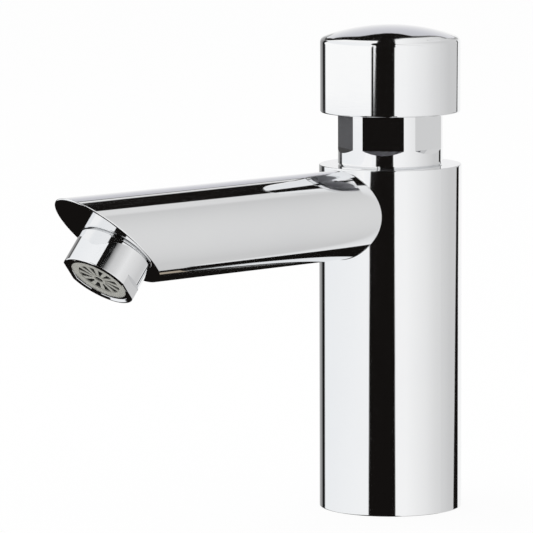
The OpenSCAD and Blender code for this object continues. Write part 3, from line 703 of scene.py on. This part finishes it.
# Studio: white walls round the tap with dark gaps between them, which the
# chromium mirrors. The picture's ground is plain white, and all else gets an
# even soft light.
DARK = (0.007, 0.006, 0.0055, 1)
half_turn = 180
quarter_turn = 90
soft_level = 0.9
lamp_watts = 7
lamp_size = 1.2
lamp_place = Vector((-0.5, -0.4, 1.6))
studio = bpy.data.worlds.new("studio")
bpy.context.scene.world = studio
studio.use_nodes = True
tree = studio.node_tree
ray = put(tree, "ShaderNodeTexCoord").outputs["Generated"]


def along(way):
    """How far the ray goes along one way."""
    return put(tree, "ShaderNodeVectorMath", {0: ray, 1: way}, operation="DOT_PRODUCT").outputs["Value"]


def sums(kind, first, second=0.0, third=0.0):
    """One step of arithmetic."""
    return put(tree, "ShaderNodeMath", {0: first, 1: second, 2: third}, operation=kind).outputs[0]


def past(value, edge, soft):
    """0 before an edge and 1 past it, with a soft change. With soft below 0 it is the other way round."""
    over = sums("SUBTRACT", value, edge)
    return put(tree, "ShaderNodeMapRange", {"Value": over, "From Min": -soft, "From Max": soft},
               interpolation_type="SMOOTHSTEP").outputs["Result"]


def band(value, low, high, soft):
    """1 between two edges and 0 outside them."""
    return sums("SUBTRACT", past(value, low, soft), past(value, high, soft))


def common(first, second):
    """What two shares have in common."""
    return sums("MULTIPLY", first, second)


def shifted(start, *shifts):
    """An edge that starts somewhere and is shifted by each value times its slope."""
    for value, slope in shifts:
        start = sums("MULTIPLY_ADD", value, slope, start)
    return start


def cover(share, under, over):
    """One colour over another, by its share."""
    return put(tree, "ShaderNodeMix", {0: share, 6: under, 7: over}, data_type="RGBA").outputs[2]


def shades(value, span, stops):
    """Shades that follow a value from -span to span, from its stops."""
    ramp = put(tree, "ShaderNodeValToRGB", {"Fac": sums("MULTIPLY_ADD", value, 0.5 / span, 0.5)})
    held = ramp.color_ramp.elements
    for place, shade in stops:
        ends = {-span: held[0], span: held[-1]}
        stop = ends.get(place) or held.new(0.5 + 0.5 * place / span)
        stop.color = (*shade, 1) if isinstance(shade, tuple) else (shade, shade, shade, 1)
    return ramp.outputs["Color"]


def edges(value, stops):
    """An edge in degrees that follows an angle round the tap, from its stops."""
    shares = [(place, (edge + quarter_turn) / half_turn) for place, edge in stops]
    return sums("MULTIPLY_ADD", shades(value, half_turn, shares), half_turn, -quarter_turn)


# A place on the walls is its turn to the right of the lens and its height above level, in degrees.
front = along((math.sin(facing), -math.cos(facing), 0))
right = along((math.cos(facing), math.sin(facing), 0))
up = along((0, 0, 1))
turn = sums("DEGREES", sums("ARCTAN2", right, front))
height = sums("DEGREES", sums("ARCSINE", up))

# Walls all round, with one run of shades low down and another above it.
low_walls = shades(turn, half_turn, [
    (-180, 0.97), (-174, 0.80), (-171, 0.60), (-166, 0.50), (-158, 0.36), (-150, 0.28), (-147, 0.15),
    (-145, 0.03), (-143, 0.006), (-137, 0.006), (-135.5, 0.06), (-133, (0.92, 0.935, 0.95)),
    (-60, (0.96, 0.97, 0.98)), (0, 1.0), (25, 0.99), (40, 0.94), (60, 0.87), (75, 0.79), (90, 0.73),
    (112, 0.64), (145, 0.64), (148, 0.97), (180, 0.97)])
high_walls = shades(turn, half_turn, [
    (-180, 0.96), (-146, 0.96), (-133, (0.92, 0.935, 0.95)), (-60, (0.96, 0.97, 0.98)), (0, 1.0),
    (25, 0.98), (40, 0.94), (60, 0.87), (75, 0.79), (90, 0.73), (112, 0.64), (150, 0.66), (162, 0.70),
    (180, 0.70)])
swap_height = edges(turn, [(-180, 20), (-133, 20), (-120, 9), (180, 9)])
walls = cover(past(height, swap_height, 3), low_walls, high_walls)

# A leaning dark gap far round to the right, and a white wall beyond it.
side_middle = shifted(156.7, (sums("MINIMUM", height, -4), 2.67))
side_off = sums("SUBTRACT", turn, side_middle)
beyond = sums("SUBTRACT", past(side_off, 0, 1), past(turn, 149, 1))
walls = cover(common(beyond, band(height, -13, 6, 1)), walls, (0.97, 0.97, 0.97, 1))
low_down = past(height, -5.5, -0.3)
side_left = shifted(-2.4, (low_down, -2.8))
side_right = shifted(2.2, (sums("MINIMUM", sums("ADD", height, 7.2), 0), -2.4), (low_down, 3.7))
side_gap = common(band(side_off, side_left, side_right, 1), band(height, -13, 12, 1))

# The dark gap on the lens's side, with bent edges and a strip light in it.
below_bend = sums("MINIMUM", sums("ADD", height, 6), 0)
bend = sums("MINIMUM", sums("MAXIMUM", height, -6), 0)
over_bend = sums("MAXIMUM", sums("SUBTRACT", height, 34), 0)
gap_left = shifted(-29.36, (below_bend, 1.0), (over_bend, -0.45), (bend, 0.46),
                   (sums("MAXIMUM", height, -4), -0.09), (band(height, 15, 30, 1), 6.0))
gap_right = shifted(8.6, (below_bend, -0.35), (over_bend, 0.2), (bend, 0.33))
front_gap = band(turn, gap_left, gap_right, 1)
light_right = shifted(turn, (sums("MINIMUM", height, -4.4), -5))
light_width = sums("SUBTRACT", past(turn, -27.5, 0.6), past(light_right, -1.1, 0.6))
strip_light = common(light_width, band(height, -5.2, 14, 0.2))
dark = common(sums("MAXIMUM", front_gap, side_gap), sums("SUBTRACT", 1.0, strip_light))
walls = cover(dark, walls, DARK)

# A strip, dark at its left end, along the path of wall that the round of the aerator's shell mirrors.
path_angles = range(52, 12, -3)
path_depth = 6 * MM
path_half = 1.8
path_stops = []
for angle in path_angles:
    seen_way = mirror_way(*shell_spot(math.radians(angle), path_depth))
    seen_turn = math.degrees(math.atan2(seen_way.x, -seen_way.y) - facing)
    path_stops.append((seen_turn, math.degrees(math.asin(seen_way.z))))
path_start = (-half_turn, path_stops[0][1])
path_end = (half_turn, path_stops[-1][1])
off_path = sums("SUBTRACT", height, edges(turn, [path_start, *path_stops, path_end]))
path_shades = shades(turn, half_turn, [
    (-180, 0.006), (20.5, 0.006), (21.7, 0.15), (25, 0.28), (30, 0.46), (36, 0.62), (48, 0.72), (60, 0.85),
    (180, 0.85)])
path_strip = common(band(off_path, -path_half, path_half, 0.5), band(turn, 6, 61, 1))
walls = cover(path_strip, walls, path_shades)

# The brightest stretch of wall, left of the gap, and a dim sill under its far end.
glow_width = sums("SUBTRACT", past(turn, -132, 1), past(turn, gap_left, 1))
glow_rise = sums("SUBTRACT", past(height, -5.28, 0.04), past(height, 13, 4))
walls = cover(common(glow_width, glow_rise), walls, (1.06, 1.06, 1.055, 1))
dim_sill = common(band(turn, -146, -134, 1), band(height, -5.85, -5.28, 0.03))
walls = cover(dim_sill, walls, (0.11, 0.11, 0.115, 1))

# The roof, which the dome mirrors. A place on it is the side and the lean of the chromium that shows it.
lens_rise = math.radians(4.34)
half_front = sums("ADD", front, math.cos(lens_rise))
half_up = sums("ADD", up, math.sin(lens_rise))
half_out = sums("SQRT", sums("MULTIPLY_ADD", right, right, sums("MULTIPLY", half_front, half_front)))
side = sums("DEGREES", sums("ARCTAN2", right, half_front))
lean = sums("DEGREES", sums("ARCTAN2", half_out, half_up))
roof = shades(side, half_turn, [
    (-180, 0.95), (-89, 0.90), (-85, 0.65), (-80, 0.42), (-75, 0.36), (-70, 0.34), (-64, 0.80), (-58, 0.94),
    (-48, 1.0), (-20, 1.0), (5, 1.0), (11, 0.965), (25, 0.865), (40, 0.775), (50, 0.70), (60, 0.66),
    (70, 0.50), (74, 0.42), (79, 0.50), (82, 0.95), (180, 0.95)])
roof = cover(band(side, -11, 4.2, 0.5), roof, DARK)
walls = cover(past(lean, 50, -2), walls, roof)

# A dark beam high up at the back, to the right.
beam_low = edges(turn, [
    (-180, 45), (130, 45.4), (138, 45.7), (148, 44.5), (156, 41.8), (164, 37.5), (167, 35), (170, 33),
    (180, 33)])
beam_high = edges(turn, [
    (-180, 51), (134, 51), (140, 50.8), (148, 49.2), (157, 46.3), (165, 42), (169, 38.2), (171, 36.5),
    (180, 36)])
beam = common(band(turn, 133.8, 168, 1), band(height, beam_low, beam_high, 0.5))
walls = cover(beam, walls, DARK)

# The back wall, and the dark line between it and the roof.
back_wall = shades(height, quarter_turn, [
    (-90, 0.97), (1, 0.97), (4, 0.93), (9, (0.86, 0.86, 0.87)), (14, (0.78, 0.78, 0.80)),
    (24, (0.63, 0.63, 0.67)), (33, (0.56, 0.56, 0.60)), (90, (0.56, 0.56, 0.60))])
back_edge = edges(side, [
    (-180, 20), (-80, 20), (-76, 21), (-72, 28), (-66, 22), (-60, 19.6), (-52, 18.6), (-45, 17.8),
    (-35, 17.0), (-30, 16.2), (-20, 14.4), (-10, 13.5), (0, 13.3), (10, 13.7), (15, 14.4), (20, 15.4),
    (25, 16.3), (45, 17.0), (55, 18.1), (62, 20), (68, 25), (72, 36), (76, 22), (80, 20), (180, 20)])
roof_edge = edges(side, [
    (-180, 20), (-80, 20), (-76, 24), (-72, 55), (-66, 52), (-60, 46), (-52, 33), (-45, 23), (-38, 19.8),
    (-10, 19.1), (5, 18.3), (15, 17.8), (45, 18.1), (55, 18.8), (62, 21.5), (68, 30), (72, 46), (76, 24),
    (80, 20), (180, 20)])
line_depth = shades(side, half_turn, [
    (-180, 0.0), (-78, 0.0), (-74, 0.6), (-66, 1.0), (-40, 1.0), (20, 1.0), (28, 0.9), (60, 0.8), (72, 0.5),
    (76, 0.0), (180, 0.0)])
walls = cover(past(lean, back_edge, -0.25), walls, back_wall)
walls = cover(common(band(lean, back_edge, roof_edge, 0.25), line_depth), walls, DARK)

# The dark ground below the walls, and a brown bench on it.
foot_edge = edges(turn, [
    (-180, -9), (-172, -11), (-142, -14), (-135, -46), (-60, -46), (-40, -32), (-20, -60), (20, -85),
    (132, -85), (136, -46), (146, -45), (155, -43.5), (160, -41.7), (165, -38), (170, -33), (175, -25.5),
    (178, -16), (180, -9)])
walls = cover(past(height, foot_edge, -0.6), walls, DARK)
bench = common(band(turn, 144.5, 152.5, 1.2), band(height, -52, -44.2, 0.5))
walls = cover(bench, walls, (0.42, 0.36, 0.29, 1))

# What the metal mirrors, what the lens sees behind the tap, and what lights the rest.
mirrored = put(tree, "ShaderNodeBackground", {"Color": walls, "Strength": 1.0})
ground = put(tree, "ShaderNodeBackground", {"Color": WHITE, "Strength": 1.0})
even_light = put(tree, "ShaderNodeBackground", {"Color": WHITE, "Strength": soft_level})
seen = put(tree, "ShaderNodeLightPath")
soft_or_mirrored = put(tree, "ShaderNodeMixShader", {0: seen.outputs["Is Glossy Ray"],
                                                     1: even_light.outputs[0], 2: mirrored.outputs[0]})
shown = put(tree, "ShaderNodeMixShader", {0: seen.outputs["Is Camera Ray"], 1: soft_or_mirrored.outputs[0],
                                          2: ground.outputs[0]})
tree.links.new(shown.outputs[0], tree.nodes["World Output"].inputs["Surface"])

overhead = bpy.data.lights.new("overhead", "AREA")
overhead.energy = lamp_watts
overhead.size = lamp_size
lamp = bpy.data.objects.new("overhead", overhead)
bpy.context.scene.collection.objects.link(lamp)
lamp.location = lamp_place
lamp.rotation_mode = "QUATERNION"
lamp.rotation_quaternion = (-lamp_place).to_track_quat("-Z", "Y")
lamp.visible_glossy = False

bpy.context.scene.view_settings.view_transform = "Standard"
